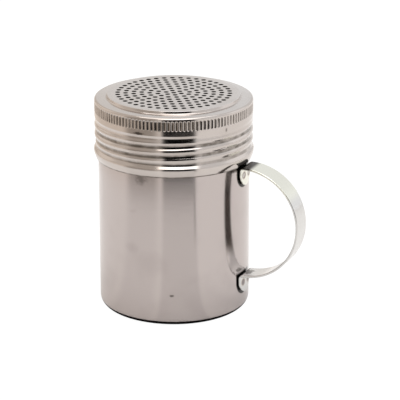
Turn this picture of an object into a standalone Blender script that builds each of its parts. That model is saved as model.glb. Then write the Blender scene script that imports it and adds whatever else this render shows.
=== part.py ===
"""A stainless restaurant spice shaker: a drawn cup with a strap handle and a
perforated screw lid. Units are metres, +Z is up, the cup stands on z = 0 with
its axis on the Z axis, and the handle points along +X.
"""

from math import atan2, ceil, cos, pi, sin, sqrt, tau

import bmesh
import bpy
from mathutils import Matrix, Vector

# Facets round a turned shape, and rows for each turn of the thread
SEGMENTS = 36
ROWS_PER_PITCH = 5

# Cup
CUP_RADIUS = 0.03275
CUP_HEIGHT = 0.0926
CUP_SHEET = 0.0005
CUP_CORNER_RADIUS = 0.0040
CUP_CORNER_STEPS = 4
NECK_INSET = 0.00015
NECK_BELOW_RIM = 0.0183

# Rolled thread, the same right-hand wave in the cup and in the lid
THREAD_PITCH = 0.0042
THREAD_SWELL = 0.0004
THREAD_GAP = 0.00065
THREAD_CREST_ABOVE_BASE = 0.0792
THREAD_CREST_ANGLE = -66.0 * pi / 180.0
THREAD_FADE = 0.0022
CUP_THREAD_BELOW_RIM = 0.0070
CUP_THREAD_LENGTH = 0.0100

# Lid, from its seat on the rim down to its lower edge
LID_SHEET = 0.0006
RIM_GAP = 0.0005
PLATEAU_RISE = 0.00155
PLATEAU_RADIUS = 0.0285
PLATEAU_STEP_WIDTH = 0.0008
PLATEAU_STEP_DROP = 0.0008
SHOULDER_INSET = 0.00085
SHOULDER_DROP = 0.0011
SKIRT_LENGTH = 0.0262
KNURL_LENGTH = 0.0045
KNURL_COUNT = 126
FLUTE_DEPTH = 0.00028
BAND_SWELL = 0.00035
BAND_STEP = 0.00035
RIDGE_INSET = 0.00005
PLAIN_BAND_LENGTH = 0.0015
PLAIN_BAND_TAPER = 0.0018
BEAD_SWELL = 0.00075
BEAD_ABOVE_EDGE = 0.0034
BEAD_HALF_HEIGHT = 0.0024
BEAD_ROWS = 3
HEM_INSET = 0.00005
VALLEY_INSET = 0.00005

# Sprinkling holes, one at the centre and then rings of 6, 12, 18 and so on
HOLE_DIAMETER = 0.0017
HOLE_MARGIN = 0.0035
HOLE_RINGS = 7
HOLES_PER_RING = 6
HOLE_SIDES = 6
HOLE_PATTERN_TURN = 4.0 * pi / 180.0

# Stiffening wire in the lid's lower bead
WIRE_DIAMETER = 0.0005
WIRE_GAP = 0.0002
WIRE_SIDES = 6

# Strap handle
STRAP_WIDTH = 0.0106
STRAP_THICKNESS = 0.00095
STRAP_GAP = 0.0003
STRAP_COLUMNS = 4
HANDLE_BELOW_LID = 0.0004
HANDLE_ABOVE_BASE = 0.0094
LOOP_ROWS = 22
BEND_RADIUS = 0.0012
BEND_ROWS = 4
TAB_LENGTH = 0.0072
TAB_END_ROWS = 5
TAB_ROWS = 3

# Spot welds, two side by side in each tab
WELD_DIAMETER = 0.0024
WELD_SPACING = 0.0052
WELD_FROM_BEND = 0.0023
WELD_CLEARANCE = 0.0003
WELD_SINK = 0.0001
WELD_SIDES = 14

# Any cutter passes this far beyond what it cuts
OVERRUN = 0.002

# Radii and heights that follow from the sizes above
NECK_RADIUS = CUP_RADIUS - NECK_INSET
SKIRT_RADIUS = NECK_RADIUS + THREAD_GAP + LID_SHEET
BAND_RADIUS = SKIRT_RADIUS + BAND_SWELL
SHOULDER_Z = CUP_HEIGHT + RIM_GAP + LID_SHEET
LID_TOP_Z = SHOULDER_Z + PLATEAU_RISE
LID_EDGE_Z = SHOULDER_Z - SKIRT_LENGTH
KNURL_TOP_Z = SHOULDER_Z - SHOULDER_DROP
KNURL_BOTTOM_Z = KNURL_TOP_Z - KNURL_LENGTH
BAND_BOTTOM_Z = KNURL_BOTTOM_Z - PLAIN_BAND_LENGTH
TAPER_BOTTOM_Z = BAND_BOTTOM_Z - PLAIN_BAND_TAPER
BEAD_Z = LID_EDGE_Z + BEAD_ABOVE_EDGE
VALLEY_Z = BEAD_Z + BEAD_HALF_HEIGHT
CUP_THREAD_TOP_Z = CUP_HEIGHT - CUP_THREAD_BELOW_RIM
CUP_THREAD_BOTTOM_Z = CUP_THREAD_TOP_Z - CUP_THREAD_LENGTH
NECK_Z = CUP_HEIGHT - NECK_BELOW_RIM
TAB_RADIUS = CUP_RADIUS + STRAP_GAP + STRAP_THICKNESS / 2
LOOP_TOP_Z = LID_EDGE_Z - HANDLE_BELOW_LID - STRAP_THICKNESS / 2
LOOP_BOTTOM_Z = HANDLE_ABOVE_BASE + TAB_LENGTH + BEND_RADIUS
LOOP_RADIUS = (LOOP_TOP_Z - LOOP_BOTTOM_Z) / 2
LOOP_MIDDLE_Z = (LOOP_TOP_Z + LOOP_BOTTOM_Z) / 2
HOLE_RING_PITCH = (PLATEAU_RADIUS - HOLE_MARGIN - HOLE_DIAMETER / 2) / HOLE_RINGS

SMALLEST = 1e-7


def clear_scene():
    """Remove whatever the scene starts with."""
    for thing in list(bpy.data.objects):
        bpy.data.objects.remove(thing, do_unlink=True)


def make_material(name, colour, roughness):
    """Bare metal of one colour."""
    material = bpy.data.materials.new(name)
    material.use_nodes = True
    shader = material.node_tree.nodes["Principled BSDF"]
    shader.inputs["Base Color"].default_value = (*colour, 1.0)
    shader.inputs["Metallic"].default_value = 1.0
    shader.inputs["Roughness"].default_value = roughness
    return material


def make_object(name, mesh_maker, collection, material=None):
    """A new object from a bmesh, smooth where its faces nearly meet flat."""
    mesh = bpy.data.meshes.new(name)
    mesh_maker.to_mesh(mesh)
    mesh_maker.free()
    mesh.shade_smooth()
    mesh.set_sharp_from_angle(angle=pi / 5)
    thing = bpy.data.objects.new(name, mesh)
    collection.objects.link(thing)
    if material:
        mesh.materials.append(material)
    return thing


def hide_cutter(thing):
    """Keep a cutter out of the render and draw it as a wire."""
    thing.hide_render = True
    thing.display_type = "WIRE"


def smooth_step(low, high, value):
    """0 below low, 1 above high, and an even rise between them."""
    share = min(max((value - low) / (high - low), 0.0), 1.0)
    return share * share * (3.0 - 2.0 * share)


def thread_wave(angle, z, bottom, top):
    """How far the rolled thread stands out of its wall at this place."""
    rise = THREAD_PITCH * (angle - THREAD_CREST_ANGLE) / tau
    turns = (z - THREAD_CREST_ABOVE_BASE - rise) / THREAD_PITCH
    fade = smooth_step(bottom - THREAD_FADE, bottom, z)
    fade *= 1.0 - smooth_step(top, top + THREAD_FADE, z)
    return THREAD_SWELL * fade * cos(tau * turns)


def spun_surface(profile, wave=None, steps=SEGMENTS):
    """Turn a profile of (radius, z) points about Z, then stand the wave out of it."""
    turned = bmesh.new()
    points = [turned.verts.new((radius, 0.0, z)) for radius, z in profile]
    edges = [turned.edges.new(pair) for pair in zip(points, points[1:])]
    bmesh.ops.spin(
        turned,
        geom=points + edges,
        cent=(0.0, 0.0, 0.0),
        axis=(0.0, 0.0, 1.0),
        angle=tau,
        steps=steps,
        use_merge=True,
        use_duplicate=False,
    )
    bmesh.ops.remove_doubles(turned, verts=turned.verts, dist=SMALLEST)
    bmesh.ops.recalc_face_normals(turned, faces=turned.faces)
    if wave:
        for point in turned.verts:
            radius = point.co.xy.length
            if radius > SMALLEST:
                angle = atan2(point.co.y, point.co.x)
                point.co.xy *= 1.0 + wave(angle, radius, point.co.z) / radius
    return turned


def add_solidify(thing, thickness, offset):
    """Give an open surface its sheet thickness."""
    sheet = thing.modifiers.new("sheet", "SOLIDIFY")
    sheet.thickness = thickness
    sheet.offset = offset
    sheet.use_even_offset = True


def add_boolean(thing, other, operation):
    """Join a shape to this one, or cut it away."""
    change = thing.modifiers.new(other.name, "BOOLEAN")
    change.operation = operation
    change.object = other
    change.solver = "EXACT"


def rows_between(top, bottom):
    """Evenly spaced heights from top to bottom, close enough to show the thread."""
    count = max(2, ceil(ROWS_PER_PITCH * (top - bottom) / THREAD_PITCH))
    return [top + (bottom - top) * row / count for row in range(count + 1)]


def cup_profile():
    """The outside of the cup, from the rim down to the middle of its base."""
    neck_rows = rows_between(CUP_THREAD_TOP_Z + THREAD_FADE, NECK_Z)
    profile = [(NECK_RADIUS, CUP_HEIGHT)]
    profile += [(NECK_RADIUS, z) for z in neck_rows]
    profile.append((CUP_RADIUS, NECK_Z - THREAD_FADE))
    for step in range(CUP_CORNER_STEPS + 1):
        turn = pi / 2 * step / CUP_CORNER_STEPS
        radius = CUP_RADIUS - CUP_CORNER_RADIUS * (1.0 - cos(turn))
        profile.append((radius, CUP_CORNER_RADIUS * (1.0 - sin(turn))))
    profile.append((0.0, 0.0))
    return profile


def make_cup(collection, material):
    """Drawn cup with a flat base, a round corner and a rolled thread at its neck."""

    def wave(angle, radius, z):
        return thread_wave(angle, z, CUP_THREAD_BOTTOM_Z, CUP_THREAD_TOP_Z)

    cup = make_object("cup", spun_surface(cup_profile(), wave), collection, material)
    add_solidify(cup, CUP_SHEET, -1.0)
    return cup


def lid_profile():
    """The outside of the lid, from the middle of its top down to its lower edge."""
    profile = [
        (0.0, LID_TOP_Z),
        (PLATEAU_RADIUS, LID_TOP_Z),
        (PLATEAU_RADIUS + PLATEAU_STEP_WIDTH, LID_TOP_Z - PLATEAU_STEP_DROP),
        (SKIRT_RADIUS - SHOULDER_INSET, SHOULDER_Z),
        (SKIRT_RADIUS, KNURL_TOP_Z),
        (SKIRT_RADIUS, KNURL_BOTTOM_Z + BAND_STEP),
        (BAND_RADIUS, KNURL_BOTTOM_Z),
        (BAND_RADIUS, BAND_BOTTOM_Z),
    ]
    profile += [(SKIRT_RADIUS, z) for z in rows_between(TAPER_BOTTOM_Z, VALLEY_Z)]
    profile[-1] = (SKIRT_RADIUS - VALLEY_INSET, VALLEY_Z)
    for z, fall, low in (
        (VALLEY_Z, BEAD_HALF_HEIGHT, VALLEY_INSET),
        (BEAD_Z, BEAD_ABOVE_EDGE, HEM_INSET),
    ):
        for row in range(1, BEAD_ROWS + 1):
            share = row / BEAD_ROWS
            rise = sin(pi / 2 * share) if z == VALLEY_Z else cos(pi / 2 * share)
            swell = (BEAD_SWELL + low) * rise * rise - low
            profile.append((SKIRT_RADIUS + swell, z - fall * share))
    return profile


def make_knurl_ring(collection):
    """Ring of flutes that the lid's edge is joined to, sunk into the lid's sheet."""
    inner = SKIRT_RADIUS - LID_SHEET / 2
    ridge = BAND_RADIUS - RIDGE_INSET
    bottom = KNURL_BOTTOM_Z - PLAIN_BAND_LENGTH / 4
    crown = (SHOULDER_Z + KNURL_TOP_Z + RIDGE_INSET) / 2
    crown_radius = SKIRT_RADIUS - SHOULDER_INSET / 2 - LID_SHEET / 4

    def wave(angle, radius, z):
        flute = FLUTE_DEPTH * (1.0 - cos(KNURL_COUNT * angle)) / 2
        return -flute if radius > ridge - FLUTE_DEPTH / 2 else 0.0

    section = [
        (crown_radius, crown),
        (ridge, KNURL_TOP_Z),
        (ridge, bottom),
        (inner, bottom),
        (crown_radius, crown),
    ]
    ring = spun_surface(section, wave, 2 * KNURL_COUNT)
    knurl = make_object("knurl_ring", ring, collection)
    hide_cutter(knurl)
    return knurl


def make_hole_pins(collection):
    """Pins in a centre and rings pattern, which cut the sprinkling holes."""
    pins = bmesh.new()
    places = [Vector((0.0, 0.0, LID_TOP_Z))]
    for ring in range(1, HOLE_RINGS + 1):
        count = HOLES_PER_RING * ring
        for hole in range(count):
            angle = tau * hole / count
            place = Vector((cos(angle), sin(angle), 0.0)) * HOLE_RING_PITCH * ring
            places.append(place + Vector((0.0, 0.0, LID_TOP_Z)))
    for place in places:
        bmesh.ops.create_cone(
            pins,
            cap_ends=True,
            segments=HOLE_SIDES,
            radius1=HOLE_DIAMETER / 2,
            radius2=HOLE_DIAMETER / 2,
            depth=LID_SHEET + OVERRUN,
            matrix=Matrix.Translation(place),
        )
    cutter = make_object("hole_pins", pins, collection)
    cutter.rotation_euler.z = HOLE_PATTERN_TURN
    hide_cutter(cutter)
    return cutter


def make_lid(collection, cutters, material):
    """Pressed screw lid: holed top, knurled edge, rolled thread and lower bead."""

    def wave(angle, radius, z):
        return thread_wave(angle, z, VALLEY_Z + THREAD_FADE, TAPER_BOTTOM_Z - THREAD_FADE)

    lid = make_object("lid", spun_surface(lid_profile(), wave), collection, material)
    add_solidify(lid, LID_SHEET, -1.0)
    add_boolean(lid, make_knurl_ring(cutters), "UNION")
    add_boolean(lid, make_hole_pins(cutters), "DIFFERENCE")
    return lid


def make_hem_wire(collection, material):
    """Thin ring of wire that lies inside the lid's lower bead."""
    outer = SKIRT_RADIUS + BEAD_SWELL - LID_SHEET - WIRE_GAP
    bpy.ops.mesh.primitive_torus_add(
        major_radius=outer - WIRE_DIAMETER / 2,
        minor_radius=WIRE_DIAMETER / 2,
        major_segments=SEGMENTS,
        minor_segments=WIRE_SIDES,
        location=(0.0, 0.0, BEAD_Z),
    )
    wire = bpy.context.object
    wire.name = "lid_hem_wire"
    wire.data.name = "lid_hem_wire"
    wire.data.materials.append(material)
    for owner in list(wire.users_collection):
        owner.objects.unlink(wire)
    collection.objects.link(wire)
    return wire


def strap_route():
    """The strap's middle line from one tab's tip to the other's, as rows.

    Each row holds its x, its z, its direction in the XZ plane, half its width
    and how far it is bent round the cup, from 0 to 1.
    """
    half = STRAP_WIDTH / 2
    bend_x = TAB_RADIUS + BEND_RADIUS
    tip_z = LOOP_TOP_Z - BEND_RADIUS - TAB_LENGTH
    rows = []
    for row in range(TAB_END_ROWS + 1):
        turn = pi / 2 * row / TAB_END_ROWS
        z = tip_z + half * (1.0 - cos(turn))
        rows.append((TAB_RADIUS, z, Vector((0.0, 1.0)), half * sin(turn), 1.0))
    start = rows[-1][1]
    for row in range(1, TAB_ROWS + 1):
        z = start + (TAB_LENGTH - half) * row / TAB_ROWS
        rows.append((TAB_RADIUS, z, Vector((0.0, 1.0)), half, 1.0))
    for row in range(1, BEND_ROWS + 1):
        turn = pi / 2 * row / BEND_ROWS
        x = bend_x - BEND_RADIUS * cos(turn)
        z = LOOP_TOP_Z - BEND_RADIUS + BEND_RADIUS * sin(turn)
        rows.append((x, z, Vector((sin(turn), cos(turn))), half, 1.0 - row / BEND_ROWS))
    for row in range(1, LOOP_ROWS + 1):
        turn = pi / 2 - pi * row / LOOP_ROWS
        x = bend_x + LOOP_RADIUS * cos(turn)
        z = LOOP_MIDDLE_Z + LOOP_RADIUS * sin(turn)
        rows.append((x, z, Vector((sin(turn), -cos(turn))), half, 0.0))
    for row in range(1, BEND_ROWS + 1):
        turn = pi / 2 * row / BEND_ROWS
        x = bend_x - BEND_RADIUS * sin(turn)
        z = LOOP_BOTTOM_Z - BEND_RADIUS + BEND_RADIUS * cos(turn)
        rows.append((x, z, Vector((-cos(turn), -sin(turn))), half, row / BEND_ROWS))
    start = rows[-1][1]
    for row in range(1, TAB_ROWS + 1):
        z = start - (TAB_LENGTH - half) * row / TAB_ROWS
        rows.append((TAB_RADIUS, z, Vector((0.0, -1.0)), half, 1.0))
    start = rows[-1][1]
    for row in range(1, TAB_END_ROWS + 1):
        turn = pi / 2 * row / TAB_END_ROWS
        z = start - half * sin(turn)
        rows.append((TAB_RADIUS, z, Vector((0.0, -1.0)), half * cos(turn), 1.0))
    return rows


def strap_surface():
    """The strap's middle surface: a grid laid along the route."""
    route = strap_route()
    strap = bmesh.new()
    bmesh.ops.create_grid(
        strap, x_segments=STRAP_COLUMNS, y_segments=len(route) - 1, size=1.0
    )
    for point in strap.verts:
        share, along = point.co.x, point.co.y
        row = round((along + 1.0) / 2.0 * (len(route) - 1))
        x, z, direction, half, wrapped = route[row]
        y = share * half
        hollow = wrapped * (TAB_RADIUS - sqrt(TAB_RADIUS**2 - y * y))
        point.co = (x - hollow, y, z)
    bmesh.ops.remove_doubles(strap, verts=strap.verts, dist=SMALLEST)
    bmesh.ops.recalc_face_normals(strap, faces=strap.faces)
    return strap


def weld_places():
    """Name, angle round the cup and height of each spot weld."""
    top_z = LOOP_TOP_Z - BEND_RADIUS - WELD_FROM_BEND
    low_z = LOOP_BOTTOM_Z - BEND_RADIUS - WELD_FROM_BEND
    turn = WELD_SPACING / 2 / TAB_RADIUS
    return (
        ("weld_upper_left", turn, top_z),
        ("weld_upper_right", -turn, top_z),
        ("weld_lower_left", turn, low_z),
        ("weld_lower_right", -turn, low_z),
    )


def weld_pin(name, angle, z, radius, inner, outer, collection, material=None):
    """A short round pin that points out of the cup's wall."""
    middle = (inner + outer) / 2
    pin = bmesh.new()
    bmesh.ops.create_cone(
        pin,
        cap_ends=True,
        segments=WELD_SIDES,
        radius1=radius,
        radius2=radius,
        depth=outer - inner,
        matrix=Matrix.Rotation(pi / 2, 4, "Y"),
    )
    thing = make_object(name, pin, collection, material)
    thing.location = (middle * cos(angle), middle * sin(angle), z)
    thing.rotation_euler.z = angle
    return thing


def make_handle(collection, cutters, material):
    """Bent strap with a round tab at each end, holed for its spot welds."""
    handle = make_object("handle_strap", strap_surface(), collection, material)
    add_solidify(handle, STRAP_THICKNESS, 0.0)
    for name, angle, z in weld_places():
        hole = weld_pin(
            name + "_hole",
            angle,
            z,
            WELD_DIAMETER / 2 + WELD_CLEARANCE,
            TAB_RADIUS - STRAP_THICKNESS - OVERRUN,
            TAB_RADIUS + STRAP_THICKNESS + OVERRUN,
            cutters,
        )
        hide_cutter(hole)
        add_boolean(handle, hole, "DIFFERENCE")
    return handle


def make_welds(collection, material):
    """Four weld nuggets, each just below the face of its tab."""
    inner = CUP_RADIUS + WELD_CLEARANCE
    outer = TAB_RADIUS + STRAP_THICKNESS / 2 - WELD_SINK
    return [
        weld_pin(name, angle, z, WELD_DIAMETER / 2, inner, outer, collection, material)
        for name, angle, z in weld_places()
    ]


def main():
    """Build the shaker."""
    clear_scene()
    parts = bpy.data.collections.new("spice_shaker")
    cutters = bpy.data.collections.new("cutters")
    for collection in (parts, cutters):
        bpy.context.scene.collection.children.link(collection)
    satin = make_material("satin_steel", (0.58, 0.55, 0.53), 0.30)
    bright = make_material("bright_steel", (0.70, 0.68, 0.66), 0.18)
    dull = make_material("weld_steel", (0.40, 0.38, 0.37), 0.45)

    stand = bpy.data.objects.new("shaker_axis", None)
    parts.objects.link(stand)
    turner = bpy.data.objects.new("lid_axis", None)
    parts.objects.link(turner)
    turner.parent = stand

    fixed = [make_cup(parts, satin), make_handle(parts, cutters, bright)]
    fixed += make_welds(parts, dull)
    moving = [make_lid(parts, cutters, bright), make_hem_wire(parts, bright)]
    for thing in fixed:
        thing.parent = stand
    for thing in moving:
        thing.parent = turner


main()
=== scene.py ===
"""Looks of a stainless restaurant spice shaker: a drawn cup with a strap handle
and a perforated screw lid, in a plain white studio. All lengths are metres, in
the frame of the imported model: the cup stands on z = 0 with its axis on the Z
axis, and the handle points along +X.
"""

import logging
from collections.abc import Callable, Iterable, Mapping, Sequence
from dataclasses import dataclass, fields
from enum import Enum, IntEnum
from math import atan2, ceil, cos, hypot, pi, radians, sin, tan, tau
from typing import ClassVar

import bmesh
import bpy
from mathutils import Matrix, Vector
from mathutils.geometry import delaunay_2d_cdt

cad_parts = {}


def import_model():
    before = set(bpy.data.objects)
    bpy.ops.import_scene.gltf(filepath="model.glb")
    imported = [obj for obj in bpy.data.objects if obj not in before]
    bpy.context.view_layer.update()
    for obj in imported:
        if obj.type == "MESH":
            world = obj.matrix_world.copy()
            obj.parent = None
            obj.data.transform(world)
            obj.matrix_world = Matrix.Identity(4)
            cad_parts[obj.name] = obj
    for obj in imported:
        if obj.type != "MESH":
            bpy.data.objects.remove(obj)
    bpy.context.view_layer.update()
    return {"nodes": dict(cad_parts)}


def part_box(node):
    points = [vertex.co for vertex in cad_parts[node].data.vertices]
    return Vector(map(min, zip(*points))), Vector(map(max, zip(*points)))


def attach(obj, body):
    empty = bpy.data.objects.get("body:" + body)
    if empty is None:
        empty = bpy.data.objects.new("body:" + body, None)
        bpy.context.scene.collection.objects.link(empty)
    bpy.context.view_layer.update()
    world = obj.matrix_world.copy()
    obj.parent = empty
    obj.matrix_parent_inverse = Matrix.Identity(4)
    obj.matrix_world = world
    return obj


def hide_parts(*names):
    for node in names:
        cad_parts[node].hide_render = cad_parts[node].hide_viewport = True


Point = tuple[float, float, float]
Corner = tuple[float, float, float]
ProfilePoint = tuple[float, float]
Span = tuple[float, float]
Colour = tuple[float, float, float, float]
Wave = Callable[[float, float], float]
Socket = bpy.types.NodeSocket
Sockets = Mapping[str, Socket]
Material = bpy.types.Material

WELD_NAMES = ("weld_upper_left", "weld_upper_right", "weld_lower_left", "weld_lower_right")
SHARP_ANGLE = radians(50.0)
WHITE = (1.0, 1.0, 1.0, 1.0)
# Nearly all values of a noise lie in this span.
NOISE_SPAN = (0.3, 0.7)
SOCKET_KINDS = {"VALUE": "NodeSocketFloat", "VECTOR": "NodeSocketVector", "RGBA": "NodeSocketColor"}

log = logging.getLogger("spice_shaker")


class Body(Enum):
    """The moving bodies of the shaker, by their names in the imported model."""

    CUP = "cup_and_handle"
    CARRIER = "lid_carrier"
    LID = "screw_lid"


class Slot(Enum):
    """The record's finishes."""

    SATIN = "satin_steel"
    BRIGHT = "bright_steel"
    WIRE = "wire_steel"
    WELD = "weld_steel"


class Grain(Enum):
    """The way that the polishing lines run on a surface."""

    AROUND = "around the axis"
    RINGS = "rings on a flat top"
    ALONG = "along the strap"
    NONE = "no lines"


class LidFace(IntEnum):
    """The lid's finishes, by their material numbers."""

    TOP = 0
    SIDE = 1
    INSIDE = 2
    HOLES = 3


def rgb(red: float, green: float, blue: float) -> Colour:
    """Give an opaque colour as a node socket takes it."""
    return (red, green, blue, 1.0)


def between(first: float, second: float, share: float) -> float:
    """Go a share of the way from one value to another."""
    return first + (second - first) * share


def smooth_step(low: float, high: float, value: float) -> float:
    """Rise evenly from 0 at low to 1 at high.

    Args:
        low: where the rise starts.
        high: where it ends.
        value: the place asked for.

    Returns:
        A share from 0 to 1.
    """
    share = min(max((value - low) / (high - low), 0.0), 1.0)
    return share * share * (3.0 - 2.0 * share)


def rounded_profile(corners: Sequence[Corner], steps: int = 5) -> list[ProfilePoint]:
    """Round the corners of a profile.

    Args:
        corners: radius, height and fillet radius of each corner.
        steps: straight pieces in each fillet.

    Returns:
        The profile's points, the first and last corners among them.
    """
    points = [corners[0][:2]]
    for before, corner, after in zip(corners, corners[1:], corners[2:]):
        place = Vector(corner[:2])
        back = (Vector(before[:2]) - place).normalized()
        ahead = (Vector(after[:2]) - place).normalized()
        half = back.angle(ahead) / 2.0
        centre = place + (back + ahead).normalized() * corner[2] / sin(half)
        start = place + back * corner[2] / tan(half) - centre
        end = place + ahead * corner[2] / tan(half) - centre
        sweep = pi - 2.0 * half
        for step in range(steps + 1):
            share = step / steps
            arm = start * sin((1.0 - share) * sweep) + end * sin(share * sweep)
            points.append(tuple(centre + arm / sin(sweep)))
    points.append(corners[-1][:2])
    return points


def half_round(radius: float, z: float, lip: float, way: float, steps: int = 6) -> list[ProfilePoint]:
    """Round the free edge of a sheet over half a turn.

    Args:
        radius: the radius of its outer face.
        z: the height where the rounding starts.
        lip: half the sheet's thickness.
        way: 1 for an upper edge, -1 for a lower one.
        steps: straight pieces in the rounding.

    Returns:
        The points between the outer face and the inner one.
    """
    turns = [pi * step / steps for step in range(1, steps)]
    return [(radius - lip + lip * cos(turn), z + way * lip * sin(turn)) for turn in turns]


def heights(top: float, bottom: float, spacing: float) -> list[float]:
    """List evenly spaced heights.

    Args:
        top: the first height.
        bottom: the last height.
        spacing: the widest step allowed between two of them.

    Returns:
        The heights from top to bottom.
    """
    count = max(1, ceil(abs(top - bottom) / spacing))
    return [between(top, bottom, step / count) for step in range(count + 1)]


class SheetMesh:
    """Collects closed rings of points and the faces between them."""

    def __init__(self) -> None:
        """Start with nothing."""
        self.points: list[Point] = []
        self.faces: list[tuple[int, ...]] = []
        self.finishes: list[int] = []
        self.finish = 0

    def add_face(self, corners: Sequence[int]) -> None:
        """Add one face in the finish that is set."""
        self.faces.append(tuple(corners))
        self.finishes.append(self.finish)

    def ring(self, points: Iterable[Point]) -> list[int]:
        """Add a ring of points and give their numbers."""
        start = len(self.points)
        self.points.extend(points)
        return list(range(start, len(self.points)))

    def spun(
        self,
        rows: Iterable[ProfilePoint],
        columns: int,
        wave: Wave | None = None,
        centre: ProfilePoint = (0.0, 0.0),
    ) -> list[list[int]]:
        """Turn rows of a profile about an upright axis.

        Args:
            rows: radius and height of each row.
            columns: how many points each ring has.
            wave: what stands out of a row at an angle and a height.
            centre: where the axis is.

        Returns:
            The numbers of each ring's points.
        """
        rings = []
        for radius, z in rows:
            points = []
            for column in range(columns):
                angle = tau * column / columns
                reach = radius + (wave(angle, z) if wave else 0.0)
                points.append((centre[0] + reach * cos(angle), centre[1] + reach * sin(angle), z))
            rings.append(self.ring(points))
        return rings

    def join(self, first: list[int], second: list[int]) -> None:
        """Fill the band between two rings.

        Args:
            first: the numbers of one ring's points.
            second: those of the other, as many or a whole share of them.
        """
        if len(first) < len(second):
            first, second = second, first
        ratio = len(first) // len(second)
        for place, corner in enumerate(second):
            following = second[(place + 1) % len(second)]
            fine = [first[(place * ratio + step) % len(first)] for step in range(ratio + 1)]
            if ratio == 1:
                self.add_face((fine[0], fine[1], following, corner))
                continue
            middle = ratio // 2
            for step in range(ratio):
                near = corner if step < middle else following
                self.add_face((fine[step], fine[step + 1], near))
            self.add_face((fine[middle], following, corner))

    def join_all(self, rings: Sequence[list[int]], finish: int = 0) -> None:
        """Fill the bands between rings that follow each other.

        Args:
            rings: the rings in order.
            finish: the material number of the new faces and of those added after.
        """
        self.finish = finish
        for first, second in zip(rings, rings[1:]):
            self.join(first, second)

    def cap(self, rings: Sequence[list[int]]) -> None:
        """Close the first and the last ring."""
        self.add_face(rings[0])
        self.add_face(rings[-1])

    def make(self, name: str, materials: Sequence[Material]) -> bpy.types.Object:
        """Make the object.

        Args:
            name: the piece's name.
            materials: its finishes, in the order of the faces' finish numbers.

        Returns:
            The new object, smooth but for its sharp corners.
        """
        mesh = bpy.data.meshes.new(name)
        mesh.from_pydata(self.points, [], self.faces)
        for polygon, finish in zip(mesh.polygons, self.finishes):
            polygon.material_index = finish
        editor = bmesh.new()
        editor.from_mesh(mesh)
        bmesh.ops.recalc_face_normals(editor, faces=editor.faces)
        editor.to_mesh(mesh)
        editor.free()
        mesh.shade_smooth()
        mesh.set_sharp_from_angle(angle=SHARP_ANGLE)
        for material in materials:
            mesh.materials.append(material)
        piece = bpy.data.objects.new(name, mesh)
        bpy.context.scene.collection.objects.link(piece)
        return piece


def place_piece(piece: bpy.types.Object, body: Body, node: str) -> None:
    """Let a piece ride on its body in place of its plain solid.

    Args:
        piece: the finished piece.
        body: what it moves with.
        node: the solid that it stands for.
    """
    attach(piece, body.value)
    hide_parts(node)
    log.info("%s: %d faces, rides on %s", piece.name, len(piece.data.polygons), body.value)


class Wiring:
    """Adds nodes to one node tree and joins their sockets."""

    def __init__(self, tree: bpy.types.NodeTree) -> None:
        """Keep the tree that the nodes go into."""
        self.tree = tree

    def fill(self, node: bpy.types.Node, inputs: Mapping[object, object]) -> None:
        """Set or link a node's inputs.

        Args:
            node: the node.
            inputs: sockets or plain values, by the inputs' names or numbers.
        """
        for key, value in inputs.items():
            if isinstance(value, Socket):
                self.tree.links.new(value, node.inputs[key])
            else:
                node.inputs[key].default_value = value

    def add(self, kind: str, inputs: Mapping | None = None, **settings: object) -> bpy.types.Node:
        """Add a node.

        Args:
            kind: the node's type.
            inputs: sockets or plain values for its inputs, by name or number.
            settings: the node's own properties.

        Returns:
            The new node.
        """
        node = self.tree.nodes.new(kind)
        for name, value in settings.items():
            setattr(node, name, value)
        self.fill(node, inputs or {})
        return node

    def math(self, operation: str, first: object, second: object = 0.0) -> Socket:
        """Add one sum, by Blender's name for it, and give its result."""
        return self.add("ShaderNodeMath", {0: first, 1: second}, operation=operation).outputs[0]

    def vector(self, operation: str, first: object, second: object) -> Socket:
        """Add one sum of vectors, by Blender's name for it, and give its result."""
        inputs = {0: first, 1: second}
        return self.add("ShaderNodeVectorMath", inputs, operation=operation).outputs[0]

    def product(self, first: object, *others: object) -> Socket:
        """Multiply two or more values."""
        for other in others:
            first = self.math("MULTIPLY", first, other)
        return first

    def distance(self, first: Socket, second: Socket) -> Socket:
        """Give the length of a flat arrow from its two sides."""
        square = self.math("ADD", self.product(first, first), self.product(second, second))
        return self.math("SQRT", square)

    def split(self, place: Socket) -> tuple[Socket, Socket, Socket]:
        """Give the x, y and z of a place."""
        return tuple(self.add("ShaderNodeSeparateXYZ", {0: place}).outputs)

    def noise(self, place: Socket, scale: float, detail: float, roughness: float = 0.5) -> Socket:
        """Add a noise.

        Args:
            place: where it is read.
            scale: its cells in a metre.
            detail: how many times finer noise is added.
            roughness: how strong the finer noise is.

        Returns:
            The noise's level.
        """
        inputs = {"Vector": place, "Scale": scale, "Detail": detail, "Roughness": roughness}
        return self.add("ShaderNodeTexNoise", inputs).outputs[0]

    def fit(
        self,
        value: Socket,
        low: object,
        high: object,
        start: object = 0.0,
        end: object = 1.0,
        smooth: bool = False,
    ) -> Socket:
        """Map a span of values to another, clamped.

        Args:
            value: the socket to map.
            low: the span's start.
            high: the span's end.
            start: what low becomes.
            end: what high becomes.
            smooth: whether the ends are eased.

        Returns:
            The result's socket.
        """
        kind = "SMOOTHSTEP" if smooth else "LINEAR"
        names = ("Value", "From Min", "From Max", "To Min", "To Max")
        inputs = dict(zip(names, (value, low, high, start, end)))
        return self.add("ShaderNodeMapRange", inputs, interpolation_type=kind).outputs[0]

    def fade(self, value: Socket, low: object, high: object, smooth: bool = True) -> Socket:
        """Fall from 1 at low to 0 at high."""
        return self.fit(value, low, high, 1.0, 0.0, smooth)

    def blend(self, share: object, first: object, second: object, kind: str = "MIX") -> Socket:
        """Mix two colours.

        Args:
            share: how much of the second shows.
            first: a colour or socket.
            second: a colour or socket.
            kind: Blender's name for the way of mixing.

        Returns:
            The mixed colour's socket.
        """
        inputs = {"Factor": share, 6: first, 7: second}
        return self.add("ShaderNodeMix", inputs, data_type="RGBA", blend_type=kind).outputs[2]


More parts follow.
